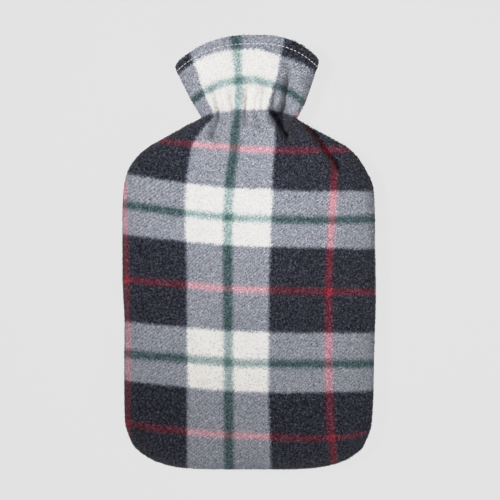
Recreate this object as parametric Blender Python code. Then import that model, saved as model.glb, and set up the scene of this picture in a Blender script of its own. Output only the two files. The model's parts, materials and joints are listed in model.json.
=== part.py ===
"""Hot water bottle cover in brushed tartan fleece, lying on its back.

Two panels cut to the outline of a bottle meet at the side and bottom seams. The neck is gathered, and
above it the collar flares out to an open mouth with a hem folded to the inside. The cover is empty and
keeps the shape of the bottle that it is made for. X runs across the cover, Y runs from the bottom seam
to the collar, and Z points up through the front panel. The back panel lies on z = 0.
"""

from collections import namedtuple

import bmesh
import bpy
import numpy as np

MM = 0.001

# Driving sizes in millimetres.
LENGTH = 358.0
CLOTH = 2.2
HEM = 4.0
SEAM_GAP = 0.3

# The back panel's cross-section bulges this many times deeper than the surface lets it.
FLOOR_PRESS = 1.10

# Folds die out this near to a seam, in millimetres above or below it.
FADE_AT_SEAM = 7.0

# The mesh: cells from seam to seam, points that measure a cross-section, and the angle in degrees past
# which an edge is shaded sharp.
ACROSS = 48
PROFILE_SAMPLES = 721
SHARP_ANGLE = 50.0

# One row for each section across the cover, from the bottom seam to the rim of the collar, in
# millimetres. A section starts on the left seam at (x_left, y_left), crosses x_mid at y_mid and ends on
# the right seam. bend says how late its ends curve away from the height of its middle. seam is the
# height of the side seams, front and back are the heights of the two panels at the middle, square is
# the exponent of the cross-section (2 is an ellipse, more is boxier), and cloth is the thickness.
Section = namedtuple(
    "Section", "y_mid y_left y_right x_left x_mid x_right bend seam front back square cloth"
)
SECTIONS = (
    Section(0.0, 16.5, 15.3, -93.1, 0.0, 92.3, 5.0, 14.0, 14.0, 14.0, 2.6, CLOTH),
    Section(2.6, 21.5, 19.5, -96.6, 0.0, 95.2, 4.4, 14.2, 25.0, 5.6, 2.6, CLOTH),
    Section(11.0, 29.5, 26.5, -99.9, 0.0, 98.0, 3.5, 14.8, 34.0, 1.2, 2.7, CLOTH),
    Section(28.5, 41.5, 38.0, -102.8, 0.0, 101.6, 2.4, 15.5, 39.0, 0.0, 2.8, CLOTH),
    Section(63.7, 73.1, 66.0, -103.3, 0.0, 103.2, 1.8, 16.0, 41.0, 0.0, 3.0, CLOTH),
    Section(88.4, 97.3, 89.5, -103.2, 0.0, 103.6, 1.6, 16.0, 41.6, 0.0, 3.0, CLOTH),
    Section(113.1, 121.6, 113.0, -103.0, 0.0, 104.2, 1.6, 16.0, 42.0, 0.0, 3.0, CLOTH),
    Section(148.5, 157.7, 146.5, -104.6, 0.0, 105.2, 1.5, 16.0, 42.0, 0.0, 3.0, CLOTH),
    Section(184.2, 192.9, 182.7, -104.8, 0.0, 104.6, 1.5, 16.0, 41.8, 0.0, 3.0, CLOTH),
    Section(207.7, 218.6, 206.9, -104.6, 0.0, 104.5, 1.5, 16.0, 41.4, 0.0, 2.9, CLOTH),
    Section(221.0, 233.0, 220.5, -103.7, 0.0, 104.1, 1.5, 16.2, 41.0, 0.0, 2.9, CLOTH),
    Section(233.5, 246.0, 233.3, -100.9, 0.0, 103.2, 1.5, 16.5, 40.5, 0.0, 2.8, CLOTH),
    Section(248.0, 258.6, 248.5, -93.2, 0.0, 96.8, 1.6, 17.0, 39.8, 0.0, 2.6, CLOTH),
    Section(258.0, 267.3, 259.0, -83.4, 0.0, 90.0, 1.8, 17.4, 39.0, 0.4, 2.5, CLOTH),
    Section(264.6, 272.9, 266.4, -74.0, 0.0, 82.6, 2.0, 17.6, 38.2, 0.9, 2.4, CLOTH),
    Section(275.0, 279.4, 274.4, -62.0, 0.0, 69.0, 2.2, 17.9, 36.8, 2.0, 2.3, CLOTH),
    Section(285.0, 285.3, 281.8, -51.8, 0.0, 55.4, 2.4, 18.0, 34.9, 3.2, 2.2, CLOTH),
    Section(292.0, 288.9, 286.8, -44.0, 0.0, 46.2, 2.6, 18.0, 33.2, 4.0, 2.2, CLOTH),
    Section(297.7, 291.3, 290.2, -40.2, 0.5, 40.8, 2.8, 18.0, 32.4, 4.4, 2.2, CLOTH),
    Section(303.4, 294.4, 293.8, -42.0, 1.0, 42.4, 2.8, 18.0, 33.4, 4.0, 2.2, CLOTH),
    Section(310.6, 298.6, 298.2, -44.7, 1.5, 44.9, 2.7, 18.1, 35.2, 3.0, 2.2, CLOTH),
    Section(321.9, 306.2, 305.6, -48.8, 2.0, 48.0, 2.6, 18.3, 37.6, 1.7, 2.3, CLOTH),
    Section(335.0, 316.8, 317.6, -54.3, 3.0, 52.2, 2.6, 18.6, 39.6, 0.7, 2.4, CLOTH),
    Section(348.6, 326.6, 329.4, -58.9, 5.0, 56.0, 2.6, 19.0, 41.0, 0.0, 2.4, CLOTH),
    Section(350.4, 328.0, 331.2, -59.7, 5.0, 56.8, 2.6, 19.0, 41.2, 0.0, 2.4, HEM),
    Section(LENGTH, 333.4, 338.4, -62.0, 6.0, 59.0, 2.6, 19.0, 41.6, 0.0, 2.4, HEM),
)

# One row for each fold of a panel, in millimetres. A fold runs in a straight line from (x_0, y_0) to
# (x_1, y_1). rise is its height at the crest, below zero for a trough. left and right are the widths
# over which it falls away on each side, and run_out is the length over which each end dies out.
Fold = namedtuple("Fold", "x_0 y_0 x_1 y_1 rise left right run_out")
FRONT_FOLDS = (
    # The pleat over the right shoulder, with its steep side to the right.
    Fold(42.0, 284.0, 62.0, 259.0, 4.2, 17.0, 4.0, 11.0),
    Fold(52.0, 279.0, 72.0, 254.0, -1.8, 5.0, 9.0, 10.0),
    # The two troughs that start at the neck, beside the middle of the front.
    Fold(21.0, 291.0, 29.0, 277.0, -4.6, 4.4, 4.4, 8.0),
    Fold(-21.5, 290.0, -28.5, 276.0, -1.8, 5.0, 5.0, 9.0),
    # The gathers of the neck, from left to right.
    Fold(-35.5, 304.0, -34.0, 292.0, -1.2, 2.6, 2.6, 6.0),
    Fold(-27.2, 306.0, -26.0, 295.0, -1.6, 2.8, 2.8, 7.0),
    Fold(-19.5, 303.0, -19.0, 290.0, -1.2, 2.6, 2.6, 6.0),
    Fold(-12.0, 302.0, -12.5, 290.0, -1.3, 2.6, 2.6, 7.0),
    Fold(-2.2, 308.0, -2.6, 291.0, -1.7, 2.8, 2.8, 7.0),
    Fold(5.0, 307.0, 4.6, 296.0, -1.3, 2.6, 2.6, 6.0),
    Fold(13.2, 307.0, 12.6, 294.0, -1.6, 2.6, 2.6, 7.0),
    Fold(26.2, 306.0, 24.8, 294.0, -2.2, 2.8, 2.8, 7.0),
    Fold(34.5, 303.0, 33.0, 291.0, -1.3, 2.6, 2.6, 6.0),
    # The soft wave of the collar, right of its middle.
    Fold(29.0, 334.0, 25.0, 316.0, -1.3, 6.0, 9.0, 10.0),
)
BACK_FOLDS = tuple(
    Fold(x, 306.0, 1.04 * x, 288.0, rise, 2.8, 2.8, 8.0)
    for x, rise in zip(
        range(-34, 35, 8), (1.2, 1.6, 1.1, 1.7, 1.3, 1.6, 1.2, 1.7, 1.1)
    )
)

# Base Color and Roughness of each panel's brushed fleece, the mean of its tartan.
FLEECE_COLOUR = (0.16, 0.17, 0.20, 1.0)
FLEECE_ROUGHNESS = 0.95


def cross_section(width, rise, square, press):
    """The x and height of one panel across a section, at even steps of its own length."""
    turn = np.linspace(0.0, np.pi, PROFILE_SAMPLES)
    x = -np.sign(np.cos(turn)) * np.abs(np.cos(turn)) ** (2.0 / square) * width / 2.0
    height = np.minimum(press * np.sin(turn) ** (2.0 / square), 1.0) * rise
    length = np.concatenate([[0.0], np.cumsum(np.hypot(np.diff(x), np.diff(height)))])
    even = np.linspace(0.0, length[-1], ACROSS + 1)
    return np.interp(even, length, x), np.interp(even, length, height)


def panel_surface(is_front):
    """The outer face of a panel as a grid of points, from seam to seam and from bottom to rim."""
    points = np.empty((len(SECTIONS), ACROSS + 1, 3))
    for line, row in zip(points, SECTIONS):
        rise = (row.front if is_front else row.back) - row.seam
        width = row.x_right - row.x_left
        x, height = cross_section(width, rise, row.square, 1.0 if is_front else FLOOR_PRESS)
        x += (row.x_left + row.x_right) / 2.0
        x_end, y_end = np.where(
            x < row.x_mid, [[row.x_left], [row.y_left]], [[row.x_right], [row.y_right]]
        )
        off_middle = ((x - row.x_mid) / (x_end - row.x_mid)) ** row.bend
        line[:, 0] = x
        line[:, 1] = row.y_mid + (y_end - row.y_mid) * off_middle
        line[:, 2] = row.seam + height + (SEAM_GAP if is_front else 0.0)
    return points


def outward_normals(points, is_front):
    """Unit normals of the grid, level along the side and bottom seams."""
    normals = np.cross(np.gradient(points, axis=1), np.gradient(points, axis=0))
    if not is_front:
        normals = -normals
    normals[0, :, 2] = 0.0
    normals[:, (0, -1), 2] = 0.0
    return normals / np.linalg.norm(normals, axis=2, keepdims=True)


def fold_height(points, folds, from_seam):
    """How far the folds lift each point, dying out towards the seams."""
    lift = np.zeros(points.shape[:2])
    for fold in folds:
        start = np.array((fold.x_0, fold.y_0))
        along = np.array((fold.x_1, fold.y_1)) - start
        length = np.hypot(*along)
        along /= length
        offset = points[..., :2] - start
        run = offset @ along
        side = offset @ np.array((-along[1], along[0]))
        beyond = np.maximum(np.maximum(-run, run - length), 0.0)
        spread = np.where(side > 0.0, fold.right, fold.left)
        lift += fold.rise * np.exp(-((side / spread) ** 2) - (beyond / fold.run_out) ** 2)
    return lift * (1.0 - np.exp(-((from_seam / FADE_AT_SEAM) ** 2)))


def sheet_object(name, outer, inner, is_front, material):
    """A closed cloth sheet between an outer and an inner grid of points."""
    mesh = bmesh.new()
    layers = [
        [[mesh.verts.new(point * MM) for point in line] for line in layer]
        for layer in (outer, inner)
    ]
    last_row = len(outer) - 1
    for row in range(last_row):
        for column in range(ACROSS):
            for layer, faces_out in zip(layers, (is_front, not is_front)):
                corners = [
                    layer[row][column],
                    layer[row][column + 1],
                    layer[row + 1][column + 1],
                    layer[row + 1][column],
                ]
                mesh.faces.new(corners if faces_out else corners[::-1])
    rim = [(0, column) for column in range(ACROSS)]
    rim += [(row, ACROSS) for row in range(last_row)]
    rim += [(last_row, column) for column in range(ACROSS, 0, -1)]
    rim += [(row, 0) for row in range(last_row, 0, -1)]
    for here, there in zip(rim, rim[1:] + rim[:1]):
        corners = [layers[0][there[0]][there[1]], layers[0][here[0]][here[1]]]
        corners += [layers[1][here[0]][here[1]], layers[1][there[0]][there[1]]]
        mesh.faces.new(corners if is_front else corners[::-1])
    bmesh.ops.triangulate(mesh, faces=mesh.faces[:], quad_method="SHORT_EDGE")
    data = bpy.data.meshes.new(name)
    mesh.to_mesh(data)
    mesh.free()
    data.shade_smooth()
    data.set_sharp_from_angle(angle=np.radians(SHARP_ANGLE))
    data.materials.append(material)
    panel = bpy.data.objects.new(name, data)
    bpy.context.scene.collection.objects.link(panel)
    return panel


def fleece(name):
    """A matt material for one panel."""
    material = bpy.data.materials.new(name)
    material.use_nodes = True
    shader = material.node_tree.nodes["Principled BSDF"]
    shader.inputs["Base Color"].default_value = FLEECE_COLOUR
    shader.inputs["Roughness"].default_value = FLEECE_ROUGHNESS
    shader.inputs["Metallic"].default_value = 0.0
    return material


def build_panel(name, is_front, folds):
    """One panel of the cover, with its folds and its folded hem."""
    outer = panel_surface(is_front)
    thickness = np.array([row.cloth for row in SECTIONS])[:, None, None]
    inner = outer - outward_normals(outer, is_front) * thickness
    seams = np.array([row.seam for row in SECTIONS])[:, None]
    for layer in (outer, inner):
        layer[..., 2] += fold_height(layer, folds, outer[..., 2] - seams)
        layer[..., 1] -= LENGTH / 2.0
    return sheet_object(name, outer, inner, is_front, fleece(name + "_fleece"))


def main():
    for old in list(bpy.data.objects):
        bpy.data.objects.remove(old, do_unlink=True)
    build_panel("front_panel", True, FRONT_FOLDS)
    build_panel("back_panel", False, BACK_FOLDS)


main()
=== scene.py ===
"""The looks of a hot water bottle cover: brushed tartan fleece panels, their nap and the hem stitching.

The cover lies on its back. Each panel is a cloth sheet of soft folds, woven in a tartan that follows the
cloth, with a nap of short fibres on it and a row of white stitches along the hem of its collar.
"""

import json
import logging
import math
from dataclasses import astuple, dataclass, field
from enum import Enum

import bpy
import numpy as np
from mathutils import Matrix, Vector

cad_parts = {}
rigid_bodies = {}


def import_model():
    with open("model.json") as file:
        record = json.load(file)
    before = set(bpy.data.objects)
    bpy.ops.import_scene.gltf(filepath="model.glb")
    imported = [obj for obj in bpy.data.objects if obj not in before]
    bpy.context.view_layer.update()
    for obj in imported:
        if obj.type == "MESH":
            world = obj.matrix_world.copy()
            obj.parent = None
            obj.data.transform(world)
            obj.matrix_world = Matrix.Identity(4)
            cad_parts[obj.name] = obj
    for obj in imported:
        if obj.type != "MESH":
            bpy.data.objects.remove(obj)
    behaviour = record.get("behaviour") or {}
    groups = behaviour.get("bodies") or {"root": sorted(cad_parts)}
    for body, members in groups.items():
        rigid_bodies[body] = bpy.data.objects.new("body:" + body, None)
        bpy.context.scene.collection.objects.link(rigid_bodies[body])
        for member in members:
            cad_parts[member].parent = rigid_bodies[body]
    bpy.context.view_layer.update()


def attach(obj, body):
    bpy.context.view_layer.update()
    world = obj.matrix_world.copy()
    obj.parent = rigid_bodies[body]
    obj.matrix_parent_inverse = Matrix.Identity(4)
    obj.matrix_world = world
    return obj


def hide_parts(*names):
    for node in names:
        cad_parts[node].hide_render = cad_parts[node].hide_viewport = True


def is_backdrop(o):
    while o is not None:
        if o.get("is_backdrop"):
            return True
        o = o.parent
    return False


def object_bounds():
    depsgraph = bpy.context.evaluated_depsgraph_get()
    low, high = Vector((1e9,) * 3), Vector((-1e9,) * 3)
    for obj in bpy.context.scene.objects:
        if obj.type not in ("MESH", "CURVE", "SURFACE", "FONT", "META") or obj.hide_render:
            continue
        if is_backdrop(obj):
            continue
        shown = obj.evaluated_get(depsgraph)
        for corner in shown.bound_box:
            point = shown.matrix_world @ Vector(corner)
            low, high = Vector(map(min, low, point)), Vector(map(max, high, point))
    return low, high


LOG = logging.getLogger("cover")
Array = np.ndarray
Piece = bpy.types.Object
Socket = bpy.types.NodeSocket
Triple = tuple[float, float, float]
MM = 0.001
BODY = "root"
CLOTH_MAP = "cloth"
LAYOUT_MAP = "OFBake"
LAYOUT_MARGIN = 0.002
TIP = "tip"
SPREAD = "spread"
OUTWARD = "outward"
NAP_SHARE = "nap_share"
DARKEST = 0.02
FLOOR = (-1.0, -1.0, 0.0)


class Side(Enum):
    """The two panels of the cover."""

    FRONT = "front"
    BACK = "back"


NAP_SEEDS = {Side.FRONT: (11, 12, 13), Side.BACK: (21,)}


class Signal:
    """A number that varies over a surface, which Python's operators work on."""

    def __init__(self, desk: "Desk", socket: Socket) -> None:
        """Wraps a socket of the desk's tree."""
        self.desk = desk
        self.socket = socket

    def _math(self, operation: str, *values: "Signal | float") -> "Signal":
        """Adds one Math node and returns its result."""
        node = self.desk.add("ShaderNodeMath", {"operation": operation}, dict(enumerate(values)))
        return Signal(self.desk, node.outputs[0])

    def __add__(self, other: "Signal | float") -> "Signal":
        """The sum."""
        return self._math("ADD", self, other)

    def __sub__(self, other: "Signal | float") -> "Signal":
        """The difference."""
        return self._math("SUBTRACT", self, other)

    def __rsub__(self, other: "Signal | float") -> "Signal":
        """The difference from a plain number."""
        return self._math("SUBTRACT", other, self)

    def __mul__(self, other: "Signal | float") -> "Signal":
        """The product."""
        return self._math("MULTIPLY", self, other)

    __radd__ = __add__
    __rmul__ = __mul__

    def sine(self) -> "Signal":
        """The sine of an angle in radians."""
        return self._math("SINE", self)

    def wrapped(self, period: float) -> "Signal":
        """The place within a repeat, from 0 to period."""
        return self._math("WRAP", self, period, 0.0)

    def power(self, exponent: float) -> "Signal":
        """The signal to a power, and never below a nearly black value."""
        return self._math("POWER", self._math("MAXIMUM", self, DARKEST), exponent)

    def step(self, start: float, end: float) -> "Signal":
        """A smooth rise from 0 at start to 1 at end."""
        inputs = {"Value": self, "From Min": start, "From Max": end}
        return self.desk.signal(
            self.desk.add("ShaderNodeMapRange", {"interpolation_type": "SMOOTHSTEP"}, inputs))

    def band(self, start: float, end: float, soft: float) -> "Signal":
        """1 between start and end and 0 outside, with edges this soft."""
        rise = self.step(start - soft, start + soft)
        return rise * (1.0 - self.step(end - soft, end + soft))


class Desk:
    """Builds one node tree: it adds nodes by type and wires them."""

    def __init__(self, tree: bpy.types.NodeTree) -> None:
        """Works on an existing tree."""
        self.tree = tree

    def add(self, kind: str, settings: dict | None = None, inputs: dict | None = None) -> bpy.types.Node:
        """Adds a node.

        Args:
            kind: The node's type.
            settings: The node's own properties, which are set first.
            inputs: Values, sockets or signals by socket name or number.

        Returns:
            The new node.
        """
        node = self.tree.nodes.new(kind)
        for name, value in (settings or {}).items():
            setattr(node, name, value)
        for key, value in (inputs or {}).items():
            if isinstance(value, Signal):
                value = value.socket
            if isinstance(value, Socket):
                self.tree.links.new(value, node.inputs[key])
            else:
                node.inputs[key].default_value = value
        return node

    def signal(self, node: bpy.types.Node, output: str | int = 0) -> Signal:
        """Wraps one output of a node."""
        return Signal(self, node.outputs[output])

    def blend(self, share: Signal, first: object, second: object) -> Socket:
        """Mixes two colours, with this share of the second one."""
        inputs = {0: share, 6: first, 7: second}
        return self.add("ShaderNodeMix", {"data_type": "RGBA"}, inputs).outputs[2]

    def vector(self, operation: str, *values: object) -> Socket:
        """Adds one Vector Math node and returns its vector."""
        node = self.add("ShaderNodeVectorMath", {"operation": operation}, dict(enumerate(values)))
        return node.outputs[0]

    def scaled(self, vector: Socket, by: Signal | float) -> Socket:
        """A vector times a number."""
        inputs = {0: vector, "Scale": by}
        return self.add("ShaderNodeVectorMath", {"operation": "SCALE"}, inputs).outputs[0]


def opaque(*parts: float) -> tuple[float, ...]:
    """The value of a colour socket."""
    return (*parts, 1.0)


@dataclass(frozen=True)
class Noise:
    """An even noise: its strength, its features in each unit, and its finer layers and their strength."""

    strength: float
    fineness: float
    layers: float = 1.0
    rough: float = 0.5

    def at(self, desk: Desk, place: Socket, output: str = "Fac") -> Signal:
        """Its value at a place, around one half. Color gives three values in place of one."""
        inputs = {"Vector": place, "Scale": self.fineness, "Detail": self.layers, "Roughness": self.rough}
        return desk.signal(desk.add("ShaderNodeTexNoise", inputs=inputs), output)


def principled(name: str, values: dict[str, object]) -> tuple[bpy.types.Material, Desk, bpy.types.Node]:
    """Starts a material.

    Args:
        name: The material's name.
        values: The constant values of its shader, by socket name.

    Returns:
        The material, a desk on its tree and its shader.
    """
    material = bpy.data.materials.new(name)
    material.use_nodes = True
    shader = material.node_tree.nodes["Principled BSDF"]
    for socket, value in values.items():
        shader.inputs[socket].default_value = value
    return material, Desk(material.node_tree), shader


BLEND_POWERS = (1.73, 1.53, 1.19)


@dataclass(frozen=True)
class Yarn:
    """A dyed yarn, by its linear colour."""

    red: float
    green: float
    blue: float

    @property
    def root(self) -> tuple[float, ...]:
        """The colour in the scale in which brushed fibres of two colours mix evenly."""
        parts = zip((self.red, self.green, self.blue), BLEND_POWERS)
        return opaque(*(part ** (1.0 / power) for part, power in parts))


@dataclass(frozen=True)
class Stripe:
    """A stripe of the sett, in millimetres.

    start and end are its places within the repeat, soft is how far its edges blur, and lead is how much
    more of its yarn shows than of the yarn that crosses it.
    """

    yarn: Yarn
    start: float
    end: float
    soft: float
    lead: float = 0.0


WHITE = Yarn(0.938, 0.914, 0.89)
CHARCOAL = Yarn(0.0248, 0.0262, 0.0385)
GREEN = Yarn(0.115, 0.232, 0.222)
RED = Yarn(0.45, 0.018, 0.042)


@dataclass(frozen=True)
class Sett:
    """The stripes of one thread direction, on a charcoal ground. start is where the cloth's zero lies."""

    period: float
    stripes: tuple[Stripe, ...]
    start: float = 10.0

    def colour(self, desk: Desk, place: Signal) -> tuple[Socket, Signal]:
        """The yarn at a place.

        Args:
            desk: The tree to build in.
            place: The distance across the threads, in millimetres.

        Returns:
            The yarn's root colour, and how much more of it shows than of the yarn that crosses it.
        """
        here = (place + self.start).wrapped(self.period)
        result: object = CHARCOAL.root
        lead: Signal | float = 0.0
        for stripe in self.stripes:
            share = here.band(stripe.start, stripe.end, stripe.soft)
            result = desk.blend(share, result, stripe.yarn.root)
            lead = share * stripe.lead + lead
        return result, lead


WARP = Sett(165.5, (
    Stripe(WHITE, 10.0, 79.5, 1.6),
    Stripe(GREEN, 41.3, 49.3, 2.2, 0.04),
    Stripe(RED, 125.3, 131.1, 2.4, 0.01),
))
WEFT = Sett(120.0, (
    Stripe(WHITE, 45.5, 94.5, 1.6),
    Stripe(GREEN, 66.7, 73.3, 2.4, 0.04),
    Stripe(RED, 7.3, 12.7, 2.3, -0.08),
))
FLEECE = {"Roughness": 0.96, "Specular IOR Level": 0.12, "Sheen Weight": 0.22, "Sheen Roughness": 0.55}
THREAD = {"Roughness": 0.6, "Sheen Weight": 0.2}


@dataclass(frozen=True)
class FleeceFinish:
    """Brushed tartan fleece with a fine twill, with painted shade near the nap's roots. Sizes are in
    millimetres on the flat cloth.
    """

    name: str
    is_nap: bool = False
    twill: float = 3.3
    twill_slope: float = 1.14
    twill_show: float = 0.14
    waver: Noise = Noise(4.0, 0.3)
    fuzz: Noise = Noise(0.38, 1.3)
    ragged: Noise = Noise(2.4, 0.85, 2.0, 0.6)
    speckle: Noise = Noise(0.1, 0.75, 2.0, 0.6)
    mottle: Noise = Noise(0.08, 0.05, 2.0)
    tufts: Noise = Noise(0.55, 0.9, 3.0, 0.6)
    tuft_depth: float = 0.9
    grain: float = 1.12
    # Painted shade on the nap: the colour is darkened near each tuft's root and lightened near its tip.
    painted_root_shade: float = 0.9
    painted_tip_light: float = 0.2

    def make(self) -> bpy.types.Material:
        """Builds the material and returns it."""
        material, desk, shader = principled(self.name, FLEECE)
        cloth = desk.add("ShaderNodeAttribute", {"attribute_name": CLOTH_MAP}).outputs["Vector"]
        place = desk.scaled(cloth, 1.0 / MM)
        desk.tree.links.new(self._fibres(desk, place), shader.inputs["Base Color"])
        if not self.is_nap:
            desk.tree.links.new(self._relief(desk, place), shader.inputs["Normal"])
        return material

    def _fibres(self, desk: Desk, place: Socket) -> Socket:
        """The colour of the fibres at a place on the cloth.

        Args:
            desk: The tree to build in.
            place: The place on the flat cloth, in millimetres.

        Returns:
            The base colour.
        """
        split = desk.add("ShaderNodeSeparateXYZ", inputs={0: place})
        across, along = desk.signal(split, 0), desk.signal(split, 1)
        wander = desk.add("ShaderNodeSeparateColor", inputs={0: self.ragged.at(desk, place, "Color")})
        stray = [(desk.signal(wander, way) - 0.5) * (2.0 * self.ragged.strength) for way in (0, 1)]
        warp, warp_lead = WARP.colour(desk, across + stray[0])
        weft, weft_lead = WEFT.colour(desk, along + stray[1])
        phase = (across + along * self.twill_slope) * (math.tau / self.twill)
        phase = phase + self.waver.at(desk, place) * self.waver.strength
        fuzz = (self.fuzz.at(desk, place) - 0.5) * self.fuzz.strength
        over = 0.5 + phase.sine() * self.twill_show + fuzz + weft_lead - warp_lead
        root = desk.blend(over, warp, weft)
        speckle = self.speckle.at(desk, place) - 0.5
        mottle = self.mottle.at(desk, place) - 0.5
        # The fleece's own random tone, from speckle and mottle.
        shade = 1.0 + speckle * self.speckle.strength + mottle * self.mottle.strength
        # On the nap, painted shade darkens the colour near each tuft's root and painted light brightens
        # it near the tip.
        if self.is_nap:
            tip = desk.signal(desk.add("ShaderNodeAttribute", {"attribute_name": TIP}), "Fac")
            shade = shade * (tip * self.painted_tip_light + self.painted_root_shade)
        grainy = desk.vector("ADD", desk.scaled(root, shade), speckle * self.grain)
        parts = desk.add("ShaderNodeSeparateXYZ", inputs={0: grainy})
        powers = [desk.signal(parts, index).power(power) for index, power in enumerate(BLEND_POWERS)]
        return desk.add("ShaderNodeCombineColor", inputs=dict(enumerate(powers))).outputs[0]

    def _relief(self, desk: Desk, place: Socket) -> Socket:
        """The normal of the felted surface at a place on the flat cloth."""
        inputs = {"Height": self.tufts.at(desk, place), "Strength": self.tufts.strength}
        return desk.add("ShaderNodeBump", inputs=inputs | {"Distance": self.tuft_depth * MM}).outputs[0]


@dataclass(frozen=True)
class ThreadFinish:
    """White sewing thread with a fine twist."""

    name: str
    colour: Triple = (0.86, 0.86, 0.84)
    dull: Triple = (0.688, 0.688, 0.672)
    twist: Noise = Noise(1.0, 1500.0)

    def make(self) -> bpy.types.Material:
        """Builds the material and returns it."""
        material, desk, shader = principled(self.name, THREAD)
        place = desk.add("ShaderNodeTexCoord").outputs["Object"]
        colour = desk.blend(self.twist.at(desk, place), opaque(*self.colour), opaque(*self.dull))
        desk.tree.links.new(colour, shader.inputs["Base Color"])
        return material


@dataclass(frozen=True)
class TableFinish:
    """A pale translucent table that is partly lit from below, so that shadows on it stay faint."""

    name: str
    shade: float = 0.06
    glow: float = 0.75

    def make(self) -> bpy.types.Material:
        """Builds the material and returns it."""
        values = {
            "Base Color": opaque(self.shade, self.shade, self.shade),
            "Roughness": 1.0,
            "Specular IOR Level": 0.0,
            "Emission Color": opaque(1.0, 1.0, 1.0),
            "Emission Strength": self.glow,
        }
        return principled(self.name, values)[0]


@dataclass(frozen=True)
class Section:
    """A section across the cover, in millimetres.

    It starts on the left seam at (x_left, y_left), crosses x_mid at y_mid and ends on the right seam.
    bend says how late its ends curve away. seam is the height of the side seams, front and back are the
    heights of the panels at the middle, and square is the exponent of the cross-section.
    """

    y_mid: float
    y_left: float
    y_right: float
    x_left: float
    x_mid: float
    x_right: float
    bend: float
    seam: float
    front: float
    back: float
    square: float


SECTIONS = tuple(Section(*row) for row in (
    (0, 16.5, 15.3, -93.1, 0, 92.3, 5, 14, 14, 14, 2.6),
    (2.6, 21.5, 19.5, -96.6, 0, 95.2, 4.4, 14.2, 25, 5.6, 2.6),
    (11, 29.5, 26.5, -99.9, 0, 98, 3.5, 14.8, 34, 1.2, 2.7),
    (28.5, 41.5, 38, -102.8, 0, 101.6, 2.4, 15.5, 39, 0, 2.8),
    (63.7, 73.1, 66, -103.3, 0, 103.2, 1.8, 16, 41, 0, 3),
    (88.4, 97.3, 89.5, -103.2, 0, 103.6, 1.6, 16, 41.6, 0, 3),
    (113.1, 121.6, 113, -103, 0, 104.2, 1.6, 16, 42, 0, 3),
    (148.5, 157.7, 146.5, -104.6, 0, 105.2, 1.5, 16, 42, 0, 3),
    (184.2, 192.9, 182.7, -104.8, 0, 104.6, 1.5, 16, 41.8, 0, 3),
    (207.7, 218.6, 206.9, -104.6, 0, 104.5, 1.5, 16, 41.4, 0, 2.9),
    (221, 233, 220.5, -103.7, 0, 104.1, 1.5, 16.2, 41, 0, 2.9),
    (233.5, 246, 233.3, -100.9, 0, 103.2, 1.5, 16.5, 40.5, 0, 2.8),
    (248, 258.6, 248.5, -93.2, 0, 96.8, 1.6, 17, 39.8, 0, 2.6),
    (258, 267.3, 259, -83.4, 0, 90, 1.8, 17.4, 39, 0.4, 2.5),
    (264.6, 272.9, 266.4, -74, 0, 82.6, 2, 17.6, 38.2, 0.9, 2.4),
    (275, 279.4, 274.4, -62, 0, 69, 2.2, 17.9, 36.8, 2, 2.3),
    (285, 285.3, 281.8, -51.8, 0, 55.4, 2.4, 18, 34.9, 3.2, 2.2),
    (292, 288.9, 286.8, -44, 0, 46.2, 2.6, 18, 33.2, 4, 2.2),
    (297.7, 291.3, 290.2, -40.2, 0.5, 40.8, 2.8, 18, 32.4, 4.4, 2.2),
    (303.4, 294.4, 293.8, -42, 1, 42.4, 2.8, 18, 33.4, 4, 2.2),
    (310.6, 298.6, 298.2, -44.7, 1.5, 44.9, 2.7, 18.1, 35.2, 3, 2.2),
    (321.9, 306.2, 305.6, -48.8, 2, 48, 2.6, 18.3, 37.6, 1.7, 2.3),
    (335, 316.8, 317.6, -54.3, 3, 52.2, 2.6, 18.6, 39.6, 0.7, 2.4),
    (348.6, 326.6, 329.4, -58.9, 5, 56, 2.6, 19, 41, 0, 2.4),
    (350.4, 328, 331.2, -59.7, 5, 56.8, 2.6, 19, 41.2, 0, 2.4),
    (355.5, 332.6, 336.8, -61.3, 6, 58.2, 2.6, 19, 41.5, 0, 2.4),
    (358, 336.5, 340.4, -59.8, 6, 57.2, 2.6, 19, 41.6, 0, 2.4),
))


@dataclass(frozen=True)
class WarpLine:
    """Where six warp lines lie on the section that crosses the middle at y, in millimetres across.

    They are the middles of the red and green stripes and the edges of the light band and of the next one.
    A place past a seam is measured on along the cloth.
    """

    y: float
    red_left: float
    light_left: float
    green: float
    light_right: float
    red: float
    light_next: float


WARP_LINES = tuple(WarpLine(*row) for row in (
    (0, -98.5, -51.2, -16.4, 18.4, 70.7, 103),
    (28.5, -100.2, -50.9, -16.6, 17.4, 67.8, 107),
    (63.7, -100, -50.7, -16.7, 16.3, 66, 107),
    (88.4, -100, -50.7, -17, 16.3, 65.5, 106),
    (113.1, -100.4, -51, -17.1, 16.3, 65.7, 104.6),
    (148.5, -101.3, -51.1, -17.3, 16.6, 65.5, 104.4),
    (184.2, -102.2, -52, -17.5, 17.5, 66.8, 104),
    (207.7, -102.8, -52.5, -17.3, 18.4, 68.3, 105),
    (233.5, -101.9, -51.6, -16.1, 19.3, 69.7, 106),
    (248, -97.2, -49.6, -14.6, 19.8, 70.2, 106),
    (264.6, -86, -47.2, -12.1, 20.9, 62.8, 100),
    (275, -78, -41.9, -11.9, 21.8, 54.6, 92),
    (285, -68, -35.6, -10.9, 22, 48.2, 84),
    (292, -60, -30.6, -9.6, 19.2, 43.2, 78),
    (297.7, -57, -29.6, -9.4, 14.7, 39.4, 75),
    (303.4, -59, -31.8, -8.8, 16.4, 41.6, 78),
    (310.6, -62, -34.3, -8.2, 18.4, 46.5, 84),
    (321.9, -66, -38, -8.7, 21.9, 53, 92),
    (347.2, -76, -45.2, -9.9, 26.8, 68, 108),
    (358, -80, -48.8, -10.9, 30.1, 73, 114),
))
WARP_MARKS = (-47.3, 0.0, 35.3, 69.5, 118.2, 165.5)


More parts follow.
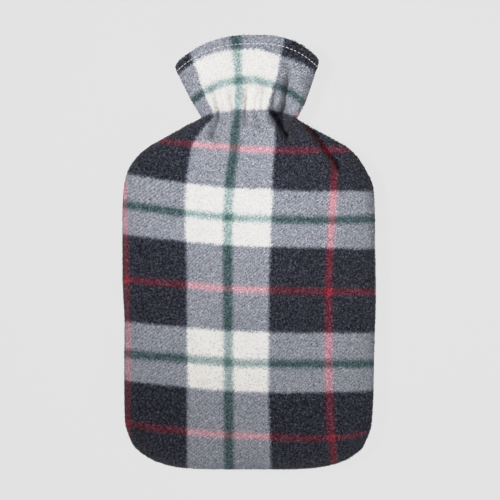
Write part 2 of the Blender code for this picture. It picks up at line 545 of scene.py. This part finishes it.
@dataclass(frozen=True)
class WeftLine:
    """The height of one weft line at the left seam, half way, the middle, half way and the right seam.

    mark is its place on the cloth, in millimetres down from the red stripe of the shoulders.
    """

    mark: float
    left: float
    half_left: float
    middle: float
    half_right: float
    right: float


WEFT_LINES = tuple(WeftLine(*row) for row in (
    (278, 16.5, 0.6, 0, 0.5, 15.3),
    (269, 21.5, 3.5, 2.6, 3.4, 19.5),
    (258.8, 29.5, 12.6, 11, 12.4, 26.5),
    (240, 40.2, 32.9, 29.2, 26.8, 31.7),
    (204.5, 74.7, 69.1, 65.3, 64.8, 66.2),
    (180, 96.6, 92.6, 88.9, 88.2, 88.5),
    (155.5, 123.3, 118.5, 114.9, 114, 113.8),
    (120, 158.1, 153.4, 149.4, 148, 147.2),
    (84.5, 194.9, 189, 185.1, 183.7, 183.1),
    (60, 219.8, 212.4, 208, 206.5, 207.5),
    (35.5, 245.1, 236.6, 232.2, 230.3, 231),
    (0, 272.9, 268, 264.6, 264, 265.5),
    (-35.5, 291, 296.4, 297.7, 297, 290.5),
    (-60, 303.5, 318.2, 321.8, 316.5, 301.8),
    (-84.5, 326.2, 343, 347.2, 341.5, 327.7),
    (-95.3, 333.4, 352.5, 358, 353.2, 338.4),
))


@dataclass(frozen=True)
class Fold:
    """A crest or trough that runs from (x_0, y_0) to (x_1, y_1), in millimetres.

    rise is its height at the crest, below zero for a trough. left and right are the widths over which it
    falls away on each side, and run_out is the length over which each end dies out.
    """

    x_0: float
    y_0: float
    x_1: float
    y_1: float
    rise: float
    left: float
    right: float
    run_out: float

    def lift(self, x: Array, y: Array) -> Array:
        """How far the fold lifts the cloth at each place.

        Args:
            x: Places across the cover.
            y: Places along the cover.

        Returns:
            The lift at each place, in millimetres.
        """
        length = math.hypot(self.x_1 - self.x_0, self.y_1 - self.y_0)
        along = ((self.x_1 - self.x_0) / length, (self.y_1 - self.y_0) / length)
        run = (x - self.x_0) * along[0] + (y - self.y_0) * along[1]
        side = (y - self.y_0) * along[0] - (x - self.x_0) * along[1]
        beyond = np.maximum(np.maximum(-run, run - length), 0.0)
        spread = np.where(side > 0.0, self.right, self.left)
        return self.rise * np.exp(-((side / spread) ** 2) - (beyond / self.run_out) ** 2)


FRONT_FOLDS = tuple(Fold(*row) for row in (
    (41.5, 287, 67, 252.5, 7, 17, 2, 7),
    (46.2, 286.5, 70.5, 254, -9, 2.6, 11, 8),
    (22.5, 292.5, 32.5, 277, -15, 4.2, 8, 5),
    (-22.5, 292, -27, 279, -8, 5.5, 5, 7),
    (-2.5, 293, -1.5, 288, -2.4, 3.4, 3.4, 4),
    (7, 292, 9, 286, -2.4, 3.4, 3.4, 4),
    (-37.5, 305, -34.5, 297, -2.8, 2.8, 3.2, 5),
    (-27, 310, -24.8, 300, -6.4, 3.4, 3.4, 7),
    (-13, 308, -11.8, 298, -5, 3.8, 2.4, 7),
    (-1, 311, -1.8, 300, -5.2, 2.8, 4.4, 7),
    (6.4, 307, 5.4, 300, -3.2, 2.6, 2.2, 6),
    (12.8, 311, 11.2, 300, -6.4, 4.2, 2.8, 7),
    (21.5, 310, 19.4, 297, -4, 2.4, 3.8, 6),
    (31.4, 318, 28.8, 297, -10, 3.2, 5.6, 11),
    (39, 306, 36.5, 298, -2, 2.4, 2.4, 4),
    (29, 334, 25, 316, -1.3, 6, 9, 10),
))
BACK_FOLDS = tuple(
    Fold(x, 306.0, 1.04 * x, 288.0, rise, 2.6, 2.6, 8.0)
    for x, rise in zip(range(-34, 35, 8), (1.2, 1.6, 1.1, 1.7, 1.3, 1.6, 1.2, 1.7, 1.1))
)


def smooth_through(known: Array, values: Array, at: Array) -> Array:
    """Reads columns of values at other places, on a curve that never overshoots.

    Args:
        known: Rising places, one for each row of values.
        values: Columns of values at those places.
        at: The places to read.

    Returns:
        One row of values for each place.
    """
    steps = np.diff(values, axis=0) / np.diff(known)[:, None]
    same_way = steps[:-1] * steps[1:] > 0
    total = np.where(same_way, steps[:-1] + steps[1:], 1.0)
    inner = np.where(same_way, 2.0 * steps[:-1] * steps[1:] / total, 0.0)
    slopes = np.vstack([steps[:1], inner, steps[-1:]])
    low = np.clip(np.searchsorted(known, at, side="right") - 1, 0, len(known) - 2)
    gap = (known[low + 1] - known[low])[:, None]
    part = np.clip((at - known[low])[:, None] / gap, 0.0, 1.0)
    rest = 1.0 - part
    before = values[low] * (1.0 + 2.0 * part) + slopes[low] * gap * part
    after = values[low + 1] * (3.0 - 2.0 * part) - slopes[low + 1] * gap * rest
    return before * rest**2 + after * part**2


def table_of(rows: tuple) -> Array:
    """A table of dataclass rows as an array of numbers."""
    return np.array([astuple(row) for row in rows])


def sections_at(rows: Array) -> Array:
    """The numbers of the section at each row, which is a place in the table of sections."""
    return smooth_through(np.arange(float(len(SECTIONS))), table_of(SECTIONS), rows)


def seams_at(rows: Array) -> Array:
    """The height of the side seams at each row."""
    return Section(*sections_at(rows).T).seam


@dataclass
class CoverShape:
    """The form in which the cover lies, and how its cloth lies on that form. Sizes in millimetres."""

    columns: int = 184
    row_samples: int = 4001
    profile_samples: int = 1441
    fine_step: float = 1.0
    coarse_step: float = 2.7
    fine_from: float = 236.0
    fine_to: float = 314.0
    length: float = 358.0
    nap_depth: float = 1.0
    floor_press: float = 1.1
    fade_at_seam: float = 7.0
    seam_gap: float = 0.3
    seam_draw: float = 1.1
    seam_draw_width: float = 2.2
    stitch_row: float = 24.27
    stitch_draw: float = 0.5
    stitch_draw_width: float = 0.16
    bare_width: float = 0.15
    rows: Array = field(init=False)

    def __post_init__(self) -> None:
        """Chooses the rows: close together at the neck and shoulders, and further apart elsewhere."""
        fine = np.linspace(0.0, len(SECTIONS) - 1.0, self.row_samples)
        line = Section(*sections_at(fine).T)
        is_fine = (line.y_mid > self.fine_from) & (line.y_mid < self.fine_to)
        step = np.where(is_fine, self.fine_step, self.coarse_step)
        cells = np.hypot(np.diff(line.y_mid), np.diff(line.front)) / step[1:]
        count = np.concatenate([[0.0], np.cumsum(cells)])
        self.rows = np.interp(np.linspace(0.0, count[-1], round(count[-1]) + 1), count, fine)

    def profile(self, row: Section, side: Side) -> tuple[Array, Array, float]:
        """The cross-section of one panel, at even steps along its cloth.

        Args:
            row: The section.
            side: Which panel.

        Returns:
            The places across, the heights above the seam and the length of cloth from seam to seam.
        """
        press, top = (1.0, row.front) if side is Side.FRONT else (self.floor_press, row.back)
        turn = np.linspace(0.0, math.pi, self.profile_samples)
        x = -np.sign(np.cos(turn)) * np.abs(np.cos(turn)) ** (2.0 / row.square)
        x = x * (row.x_right - row.x_left) / 2.0 + (row.x_left + row.x_right) / 2.0
        height = np.minimum(press * np.sin(turn) ** (2.0 / row.square), 1.0) * (top - row.seam)
        length = np.concatenate([[0.0], np.cumsum(np.hypot(np.diff(x), np.diff(height)))])
        even = np.linspace(0.0, length[-1], self.columns + 1)
        return np.interp(even, length, x), np.interp(even, length, height), length[-1]

    def surface(self, side: Side, rows: Array) -> tuple[Array, Array]:
        """The outer face of a panel without its folds.

        Args:
            side: Which panel.
            rows: The rows to make, as places in the table of sections.

        Returns:
            A grid of points, and the place of each on the flat cloth.
        """
        points = np.empty((len(rows), self.columns + 1, 3))
        cloth = np.empty((len(rows), self.columns + 1, 2))
        for line, flat, values in zip(points, cloth, sections_at(rows)):
            row = Section(*values)
            x, height, length = self.profile(row, side)
            x_end, y_end = np.where(
                x < row.x_mid, [[row.x_left], [row.y_left]], [[row.x_right], [row.y_right]]
            )
            off_middle = ((x - row.x_mid) / (x_end - row.x_mid)) ** row.bend
            line[:, 0] = x
            line[:, 1] = row.y_mid + (y_end - row.y_mid) * off_middle
            line[:, 2] = row.seam + height + (self.seam_gap if side is Side.FRONT else 0.0)
            flat[:, 0] = self.across_cloth(row.y_mid, x, length)
            flat[:, 1] = self.along_cloth(line[:, 0], line[:, 1], row)
        return points, cloth

    def across_cloth(self, y: float, x: Array, length: float) -> Array:
        """The place of each point across the flat cloth.

        Args:
            y: The height of the section at its middle.
            x: The places of the points across the cover, evenly spaced along the cloth.
            length: The length of the cloth from seam to seam.

        Returns:
            The distances from the left edge of the light band.
        """
        lines = table_of(WARP_LINES)
        marks = smooth_through(lines[:, 0], lines[:, 1:], np.array([y]))[0]
        arc = np.linspace(0.0, length, len(x))
        inside = np.interp(marks, x, arc)
        at = inside + np.maximum(marks - x[-1], 0.0) - np.maximum(x[0] - marks, 0.0)
        known = np.concatenate([[at[0] - length], at, [at[-1] + length]])
        cloth = np.concatenate([[WARP_MARKS[0] - length], WARP_MARKS, [WARP_MARKS[-1] + length]])
        return smooth_through(known, cloth[:, None], arc)[:, 0]

    def along_cloth(self, x: Array, y: Array, row: Section) -> Array:
        """The place of each point along the flat cloth.

        Args:
            x: The places of the points across the cover.
            y: Their places along the cover.
            row: The section that they lie on.

        Returns:
            The distances down from the red stripe of the shoulders.
        """
        lines = table_of(WEFT_LINES)
        marks, heights = lines[:, :1], lines[:, 1:].T
        stations = np.linspace(row.x_left, row.x_right, len(heights))
        rows = zip(heights, np.interp(stations, x, y))
        here = [smooth_through(known, marks, np.array([height]))[0] for known, height in rows]
        return smooth_through(stations, np.array(here), x)[:, 0]

    def normals(self, points: Array, side: Side) -> Array:
        """The directions that point straight out of a panel.

        Args:
            points: The grid of its outer face.
            side: Which panel.

        Returns:
            A unit vector for each point, level along the seams.
        """
        normals = np.cross(np.gradient(points, axis=1), np.gradient(points, axis=0))
        normals *= 1.0 if side is Side.FRONT else -1.0
        normals[0, :, 2] = 0.0
        normals[:, (0, -1), 2] = 0.0
        normals[0, (0, -1)] = normals[0, (1, -2)] + normals[1, (0, -1)]
        return normals / np.linalg.norm(normals, axis=2, keepdims=True)

    def lift(self, points: Array, from_seam: Array, side: Side) -> Array:
        """How far the folds lift each point.

        Args:
            points: The points to lift.
            from_seam: How far above or below the seams they are.
            side: Which panel they are on.

        Returns:
            The lifts, which die out towards the seams.
        """
        folds = FRONT_FOLDS if side is Side.FRONT else BACK_FOLDS
        total = sum(fold.lift(points[..., 0], points[..., 1]) for fold in folds)
        return total * (1.0 - np.exp(-((from_seam / self.fade_at_seam) ** 2)))


def linked(name: str, data: bpy.types.ID) -> Piece:
    """Puts a mesh, a light or a camera in the scene.

    Args:
        name: The name of the new object.
        data: What it holds.

    Returns:
        The object.
    """
    piece = bpy.data.objects.new(name, data)
    bpy.context.scene.collection.objects.link(piece)
    return piece


@dataclass
class FleecePanel:
    """One panel of the cover, as a cloth sheet with its folded hem."""

    side: Side
    shape: CoverShape
    finish: FleeceFinish
    cloth: float = 2.2
    hem: float = 4.0
    hem_rows: tuple[float, float] = (23.0, 24.0)
    rim_turns: int = 4
    rim_bulge: float = 0.5

    @property
    def name(self) -> str:
        """The name of the piece."""
        return f"{self.side.value}_panel_cloth"

    def outer_and_inner(self) -> tuple[Array, Array, Array]:
        """The two faces of the sheet.

        Returns:
            The grids of points of the outer and the inner face, and the cloth places of both.
        """
        shape = self.shape
        points, cloth = shape.surface(self.side, shape.rows)
        normals = shape.normals(points, self.side)
        from_seam = np.abs(points[..., 2] - seams_at(shape.rows)[:, None])
        hem = np.clip((shape.rows - self.hem_rows[0]) / np.ptp(self.hem_rows), 0.0, 1.0)
        thickness = (self.cloth + (self.hem - self.cloth) * hem)[:, None, None]
        draw = shape.seam_draw * np.exp(-((from_seam / shape.seam_draw_width) ** 2))
        off_stitch = (shape.rows - shape.stitch_row) / shape.stitch_draw_width
        draw += shape.stitch_draw * np.exp(-(off_stitch**2))[:, None] + shape.nap_depth
        layers = [points - normals * draw[..., None], points - normals * thickness]
        for layer in layers:
            layer[..., 2] += shape.lift(layer, from_seam, self.side)
            layer[..., 1] -= shape.length / 2.0
        return layers[0], layers[1], cloth

    def build(self) -> Piece:
        """Makes the sheet's mesh and returns its object."""
        outer, inner, cloth = self.outer_and_inner()
        lines, flats = self.ring(outer, inner, cloth)
        rows, columns = lines.shape[:2]
        mesh = bpy.data.meshes.new(self.name)
        corner = np.arange(rows * columns).reshape(rows, columns)
        quads = np.stack([corner[:-1, :-1], corner[:-1, 1:], corner[1:, 1:], corner[1:, :-1]], axis=-1)
        edges = [self.strip(corner[:, index], len(outer)) for index in (0, -1)]
        bottom = np.stack([corner[0, 1:], corner[0, :-1], corner[-1, :-1], corner[-1, 1:]], axis=-1)
        faces = np.concatenate([quads.reshape(-1, 4), edges[0], edges[1][:, ::-1], bottom])
        if self.side is Side.BACK:
            faces = faces[:, ::-1]
        mesh.from_pydata((lines.reshape(-1, 3) * MM).tolist(), [], faces.tolist())
        mesh.validate()
        corners = np.empty(len(mesh.loops), np.int32)
        mesh.loops.foreach_get("vertex_index", corners)
        maps = {CLOTH_MAP: flats.reshape(-1, 2) * MM, LAYOUT_MAP: self.layout(rows, columns)}
        for name, places in maps.items():
            layer = mesh.uv_layers.new(name=name)
            layer.uv.foreach_set("vector", places[corners].astype(np.float32).ravel())
        share = np.zeros((rows, columns), np.float32)
        off_stitch = np.abs(self.shape.rows - self.shape.stitch_row)
        share[: len(outer)] = (off_stitch > self.shape.bare_width)[:, None]
        mesh.attributes.new(NAP_SHARE, "FLOAT", "POINT").data.foreach_set("value", share.ravel())
        mesh.shade_smooth()
        mesh.materials.append(self.finish.make())
        return linked(self.name, mesh)

    def ring(self, outer: Array, inner: Array, cloth: Array) -> tuple[Array, Array]:
        """One grid that runs up the outer face, round the rim and down the inner face.

        Args:
            outer: The grid of the outer face.
            inner: The grid of the inner face.
            cloth: The cloth places of both.

        Returns:
            The points and the cloth places of the whole grid.
        """
        centre = (outer[-1] + inner[-1]) / 2.0
        across = (outer[-1] - inner[-1]) / 2.0
        ahead = outer[-1] - outer[-2]
        half = np.linalg.norm(across, axis=1, keepdims=True)
        ahead *= self.rim_bulge * half / np.linalg.norm(ahead, axis=1, keepdims=True)
        turns = np.linspace(0.0, math.pi, self.rim_turns + 2)[1:-1]
        round_rim = [centre + across * math.cos(turn) + ahead * math.sin(turn) for turn in turns]
        points = np.concatenate([outer, round_rim, inner[::-1]])
        reach = np.minimum(turns, math.pi - turns)[:, None, None] * np.array([0.0, self.hem / 2.0])
        return points, np.concatenate([cloth, cloth[-1] - reach, cloth[::-1]])

    def strip(self, line: Array, outer_rows: int) -> Array:
        """The faces that close one side edge of the sheet.

        Args:
            line: The points of the edge, up the outer face and down the inner face.
            outer_rows: How many of them are on the outer face.

        Returns:
            Four points for each face.
        """
        low = np.arange(outer_rows - 1 + self.rim_turns // 2)
        return np.stack([line[low], line[low + 1], line[-2 - low], line[-1 - low]], axis=-1)

    @staticmethod
    def layout(rows: int, columns: int) -> Array:
        """Even places for every point of the grid on a square map."""
        ways = (np.linspace(LAYOUT_MARGIN, 1.0 - LAYOUT_MARGIN, count) for count in (columns, rows))
        return np.stack(np.meshgrid(*ways), axis=-1).reshape(-1, 2)


class Repeat:
    """A Geometry Nodes tree with named inputs, which is run on an object and turned into a plain mesh."""

    def __init__(self, name: str) -> None:
        """Starts an empty tree.

        Args:
            name: What the tree is called.
        """
        self.tree = bpy.data.node_groups.new(name, "GeometryNodeTree")
        self.desk = Desk(self.tree)
        self.values: dict[str, object] = {}
        for way in ("INPUT", "OUTPUT"):
            self.tree.interface.new_socket("Geometry", in_out=way, socket_type="NodeSocketGeometry")
        self.start = self.tree.nodes.new("NodeGroupInput")

    def input(self, name: str, kind: str, value: object) -> Socket:
        """Adds a named input.

        Args:
            name: What the input is called.
            kind: Its socket's type, without the leading NodeSocket.
            value: What it is set to.

        Returns:
            The socket that carries the value inside the tree.
        """
        socket = self.tree.interface.new_socket(name, in_out="INPUT", socket_type=f"NodeSocket{kind}")
        self.values[socket.identifier] = value
        return self.start.outputs[name]

    def named(self, name: str, kind: str = "FLOAT_VECTOR") -> Socket:
        """Reads an attribute of the geometry by its name."""
        node = self.desk.add("GeometryNodeInputNamedAttribute", {"data_type": kind}, {"Name": name})
        return node.outputs["Attribute"]

    def random(self, low: object, high: object, seed: int, kind: str = "FLOAT") -> Socket:
        """A random value for each element.

        Args:
            low: The lowest value.
            high: The highest value.
            seed: The seed of the draw.
            kind: FLOAT or FLOAT_VECTOR.

        Returns:
            The values.
        """
        first, last, output = (0, 1, 0) if kind == "FLOAT_VECTOR" else (2, 3, 1)
        inputs = {first: low, last: high, "Seed": seed}
        return self.desk.add("FunctionNodeRandomValue", {"data_type": kind}, inputs).outputs[output]

    def finish(self, places: dict, swing: Socket, material: Socket, maps: dict[str, object]) -> None:
        """Puts an instance on each point, makes them real, keeps them above the floor and ends the tree.

        Args:
            places: The points, the instance and its rotation and scale, by input name.
            swing: The turn that each instance gets on top of its rotation.
            material: The material that they get.
            maps: The values of the two-part maps to store on them, by name.
        """
        inputs = {0: places["Rotation"], 1: swing}
        turned = self.desk.add("FunctionNodeRotateRotation", {"rotation_space": "LOCAL"}, inputs)
        inputs = places | {"Rotation": turned.outputs[0]}
        geometry = self.desk.add("GeometryNodeInstanceOnPoints", inputs=inputs).outputs[0]
        geometry = self.desk.add("GeometryNodeRealizeInstances", inputs={0: geometry}).outputs[0]
        here = self.desk.add("GeometryNodeInputPosition").outputs[0]
        inputs = {"Geometry": geometry, "Position": self.desk.vector("MAXIMUM", here, FLOOR)}
        geometry = self.desk.add("GeometryNodeSetPosition", inputs=inputs).outputs[0]
        settings = {"data_type": "FLOAT2", "domain": "CORNER"}
        for name, value in maps.items():
            inputs = {"Geometry": geometry, "Name": name, "Value": value}
            geometry = self.desk.add("GeometryNodeStoreNamedAttribute", settings, inputs).outputs[0]
        inputs = {"Geometry": geometry, "Material": material}
        painted = self.desk.add("GeometryNodeSetMaterial", inputs=inputs).outputs[0]
        self.desk.add("NodeGroupOutput", inputs={0: painted})

    def run(self, carrier: Piece, name: str) -> Piece:
        """Runs the tree and turns its result into a plain mesh.

        Args:
            carrier: The object that it runs on.
            name: The name of the new piece.

        Returns:
            The new piece.
        """
        modifier = carrier.modifiers.new(self.tree.name, "NODES")
        modifier.node_group = self.tree
        for identifier, value in self.values.items():
            modifier[identifier] = value
        graph = bpy.context.evaluated_depsgraph_get()
        mesh = bpy.data.meshes.new_from_object(carrier.evaluated_get(graph), depsgraph=graph)
        carrier.modifiers.remove(modifier)
        mesh.shade_smooth()
        LOG.info("%s: %d faces", name, len(mesh.polygons))
        return linked(name, mesh)


@dataclass(frozen=True)
class Nap:
    """Brushed pile: short bent tufts all over the outer face of a panel. Sizes in millimetres."""

    name: str
    seed: int
    density: float = 1.06
    length: float = 1.5
    width: float = 0.5
    rise: float = 0.55
    root_depth: float = 0.25
    bend_place: float = 0.42
    bend_rise: float = 0.8
    bend_tip: float = 0.55
    uneven: float = 0.36
    tilt: float = 0.32
    turn_seed: int = 3
    size_seed: int = 7
    map_width: float = 0.0008

    def tuft(self) -> Piece:
        """One tuft: a narrow blade that rises from the cloth and bends over.

        Returns:
            The blade, with how near the tip each point is and where it spreads to on the layout map.
        """
        bend, half, high = self.bend_place * self.length, self.width / 2.0, self.bend_rise * self.rise
        points = [(0.0, 0.0, -self.root_depth), (bend, -half, high), (bend, half, high)]
        points.append((self.length, 0.0, self.rise))
        mesh = bpy.data.meshes.new("tuft")
        mesh.from_pydata((np.array(points) * MM).tolist(), [], [(0, 1, 2), (1, 3, 2)])
        tips = (0.0, self.bend_tip, self.bend_tip, 1.0)
        mesh.attributes.new(TIP, "FLOAT", "POINT").data.foreach_set("value", tips)
        spread = np.array([(-1, 0, 0), (0, -1, 0), (0, 1, 0), (1, 0, 0)], np.float32)
        mesh.attributes.new(SPREAD, "FLOAT_VECTOR", "POINT").data.foreach_set("vector", spread.ravel())
        return linked("tuft", mesh)

    def grow(self, panel: Piece, finish: FleeceFinish) -> Piece:
        """Covers a panel.

        Args:
            panel: The panel, whose nap share says where the nap grows.
            finish: What the tufts are made of.

        Returns:
            The nap as one piece.
        """
        repeat = Repeat(f"{self.name}_tree")
        desk = repeat.desk
        tuft = self.tuft()
        density = repeat.input("Density", "Float", self.density / MM**2)
        seed = repeat.input("Seed", "Int", self.seed)
        blade = repeat.input("Tuft", "Object", tuft)
        material = repeat.input("Material", "Material", finish.make())
        share = repeat.named(NAP_SHARE, "FLOAT")
        growing = desk.add("FunctionNodeCompare", {"operation": "GREATER_THAN"}, {0: share, 1: 0.5})
        inputs = {"Mesh": repeat.start.outputs[0], "Selection": growing.outputs[0]}
        inputs |= {"Seed": seed, "Density": density}
        points = desk.add("GeometryNodeDistributePointsOnFaces", {"distribute_method": "RANDOM"}, inputs)
        most = np.array([self.tilt, self.tilt, math.pi])
        turn = repeat.random(-most, most, self.turn_seed, "FLOAT_VECTOR")
        places = {
            "Points": points.outputs["Points"],
            "Instance": desk.add("GeometryNodeObjectInfo", inputs={"Object": blade}).outputs["Geometry"],
            "Rotation": points.outputs["Rotation"],
            "Scale": repeat.random(1.0 - self.uneven, 1.0 + self.uneven, self.size_seed),
        }
        width = desk.scaled(repeat.named(SPREAD), self.map_width)
        maps = {CLOTH_MAP: repeat.named(CLOTH_MAP)}
        maps[LAYOUT_MAP] = desk.vector("ADD", repeat.named(LAYOUT_MAP), width)
        repeat.finish(places, turn, material, maps)
        piece = repeat.run(panel, self.name)
        bpy.data.objects.remove(tuft, do_unlink=True)
        return piece


@dataclass(frozen=True)
class HemStitching:
    """A row of lock stitches along the hem of the collar. Sizes in millimetres."""

    side: Side
    shape: CoverShape
    finish: ThreadFinish
    pitch: float = 3.5
    dash: float = 2.3
    thread: float = 0.6
    sink: float = 0.35
    bow: float = 0.9
    lift: float = 0.9
    swing: Triple = (0.05, 0.05, 0.1)
    swing_seed: int = 5
    bends: int = 12
    sides: int = 10
    row_gap: float = 0.05
    bare_ends: int = 3

    @property
    def name(self) -> str:
        """The name of the piece."""
        return f"{self.side.value}_hem_stitches"

    def line(self) -> Piece:
        """The line that the stitches follow.

        Returns:
            A chain of edges, with the outward direction at each of its points.
        """
        shape = self.shape
        rows = shape.stitch_row + np.array([-self.row_gap, 0.0, self.row_gap])
        points, _ = shape.surface(self.side, rows)
        outward = np.cross(np.gradient(points, axis=1), points[2:] - points[:1])[1]
        outward *= 1.0 if self.side is Side.FRONT else -1.0
        outward /= np.linalg.norm(outward, axis=1, keepdims=True)
        along = points[1] - outward * (shape.nap_depth + shape.stitch_draw - self.lift)
        along[:, 2] += shape.lift(along, np.abs(points[1, :, 2] - seams_at(rows)[1]), self.side)
        along[:, 1] -= shape.length / 2.0
        inside = slice(self.bare_ends, -self.bare_ends)
        along, outward = along[inside] * MM, outward[inside]
        mesh = bpy.data.meshes.new("stitch_line")
        mesh.from_pydata(along.tolist(), [(index, index + 1) for index in range(len(along) - 1)], [])
        mesh.attributes.new(OUTWARD, "FLOAT_VECTOR", "POINT").data.foreach_set("vector", outward.ravel())
        return linked("stitch_line", mesh)

    def sew(self) -> Piece:
        """Sews the row and returns it as one piece."""
        repeat = Repeat(f"{self.name}_tree")
        desk = repeat.desk
        pitch = repeat.input("Pitch", "Float", self.pitch * MM)
        dash = repeat.input("Dash", "Float", self.dash * MM)
        thread = repeat.input("Thread radius", "Float", self.thread * MM / 2.0)
        material = repeat.input("Material", "Material", self.finish.make())
        curve = desk.add("GeometryNodeMeshToCurve", inputs={0: repeat.start.outputs[0]}).outputs[0]
        inputs = {"Curve": curve, "Length": pitch}
        points = desk.add("GeometryNodeCurveToPoints", {"mode": "LENGTH"}, inputs)
        kind = "FunctionNodeAlignRotationToVector"
        facing = desk.add(kind, {"axis": "X"}, {"Vector": points.outputs["Tangent"]}).outputs[0]
        inputs = {"Rotation": facing, "Vector": repeat.named(OUTWARD)}
        upright = desk.add(kind, {"axis": "Z", "pivot_axis": "X"}, inputs).outputs[0]
        inputs = {"Resolution": self.bends, "Middle": (0.0, 0.0, self.bow * MM)}
        for name, way in (("Start", -0.5), ("End", 0.5)):
            place = {"X": Signal(desk, dash) * way, "Z": -self.sink * MM}
            inputs[name] = desk.add("ShaderNodeCombineXYZ", inputs=place).outputs[0]
        bezier = desk.add("GeometryNodeCurveQuadraticBezier", inputs=inputs)
        inputs = {"Resolution": self.sides, "Radius": thread}
        ring = desk.add("GeometryNodeCurvePrimitiveCircle", inputs=inputs)
        inputs = {"Curve": bezier.outputs[0], "Profile Curve": ring.outputs[0], "Fill Caps": True}
        stitch = desk.add("GeometryNodeCurveToMesh", inputs=inputs).outputs[0]
        swing = repeat.random(-np.array(self.swing), self.swing, self.swing_seed, "FLOAT_VECTOR")
        places = {"Points": points.outputs[0], "Instance": stitch, "Rotation": upright}
        repeat.finish(places, swing, material, {})
        line = self.line()
        piece = repeat.run(line, self.name)
        bpy.data.objects.remove(line, do_unlink=True)
        return piece


@dataclass
class Studio:
    """A pale table, soft lights and a camera that looks straight down."""

    table_size: float = 14.0
    lens: float = 500.0
    view_width: float = 0.41175
    focus_height: float = 0.026
    aim: tuple[float, float] = (0.0007, 0.0018)
    air: float = 0.13
    key_place: Triple = (-0.95, 0.35, 1.9)
    key_aim: Triple = (0.04, 0.095, 0.03)
    key_power: float = 228.0
    key_radius: float = 0.22
    key_cone: float = 18.2
    fill_size: float = 1.0
    fill_place: Triple = (0.9, -1.0, 1.0)
    fill_power: float = 12.0
    shoulder: tuple[tuple[float, float], ...] = (
        (0.45, 0.46), (0.6, 0.63), (0.75, 0.745), (0.9, 0.8), (1.0, 0.83)
    )

    def build(self) -> None:
        """Builds the table, the lights and the camera."""
        self.table()
        self.key()
        self.fill()
        world = bpy.data.worlds.new("studio_air")
        world.use_nodes = True
        sky = world.node_tree.nodes["Background"]
        sky.inputs["Color"].default_value = opaque(1.0, 1.0, 1.0)
        sky.inputs["Strength"].default_value = self.air
        bpy.context.scene.world = world
        self.camera()
        self.film()

    def table(self) -> None:
        """Lays the table top on the surface that the cover lies on."""
        half = self.table_size / 2.0
        mesh = bpy.data.meshes.new("table_top")
        corners = [(-half, -half, 0.0), (half, -half, 0.0), (half, half, 0.0), (-half, half, 0.0)]
        mesh.from_pydata(corners, [], [(0, 1, 2, 3)])
        mesh.materials.append(TableFinish("pale_table").make())
        linked("table_top", mesh)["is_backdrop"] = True

    def key(self) -> None:
        """Hangs the key light to the left of the collar, with a soft edge that reaches down the body."""
        data = bpy.data.lights.new("key_light", "SPOT")
        data.energy = self.key_power
        data.shadow_soft_size = self.key_radius
        data.spot_size = math.radians(self.key_cone)
        data.spot_blend = 1.0
        self.hang(data, self.key_place, self.key_aim)

    def fill(self) -> None:
        """Hangs a large weak soft box to the lower right, opposite the key light."""
        data = bpy.data.lights.new("fill_light", "AREA")
        data.size = self.fill_size
        data.energy = self.fill_power
        self.hang(data, self.fill_place, (0.0, 0.0, 0.0))

    def hang(self, data: bpy.types.Light, place: Triple, aim: Triple) -> None:
        """Hangs a light.

        Args:
            data: The light.
            place: Where it hangs.
            aim: The point that it faces.
        """
        lamp = linked(data.name, data)
        lamp.location = place
        lamp.rotation_euler = (Vector(aim) - Vector(place)).to_track_quat("-Z", "Y").to_euler()

    def camera(self) -> None:
        """Places the camera straight above the cover."""
        data = bpy.data.cameras.new("camera")
        data.lens = self.lens
        distance = self.lens / data.sensor_width * self.view_width
        low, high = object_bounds()
        middle = (low + high) / 2.0
        eye = linked("camera", data)
        eye.location = (middle.x + self.aim[0], middle.y + self.aim[1], self.focus_height + distance)
        data.clip_end = 4.0 * distance
        bpy.context.scene.camera = eye

    def film(self) -> None:
        """Gives the picture the soft highlights of film, in which white cloth keeps its folds."""
        view = bpy.context.scene.view_settings
        view.view_transform = "Standard"
        view.use_curve_mapping = True
        curve = view.curve_mapping.curves[3]
        curve.points[-1].location = self.shoulder[-1]
        for light, shown in self.shoulder[:-1]:
            curve.points.new(light, shown)
        view.curve_mapping.update()


def corners(box: tuple) -> list[list[float]]:
    """A box as plain lists of numbers."""
    return [list(map(float, corner)) for corner in box]


def main() -> None:
    """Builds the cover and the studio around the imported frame."""
    logging.basicConfig(level=logging.INFO, format="%(name)s: %(message)s")
    for old in list(bpy.data.objects):
        bpy.data.objects.remove(old, do_unlink=True)
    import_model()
    shape = CoverShape()
    for side in Side:
        sheet = FleecePanel(side, shape, FleeceFinish(f"{side.value}_fleece")).build()
        LOG.info("%s: %d faces", sheet.name, len(sheet.data.polygons))
        pile = FleeceFinish(f"{side.value}_nap", is_nap=True)
        extras = [Nap(f"{side.value}_nap_{seed}", seed).grow(sheet, pile) for seed in NAP_SEEDS[side]]
        extras.append(HemStitching(side, shape, ThreadFinish(f"{side.value}_thread")).sew())
        for piece in [sheet, *extras]:
            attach(piece, BODY)
            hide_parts(f"{side.value}_panel")
    Studio().build()


if __name__ == "__main__":
    main()
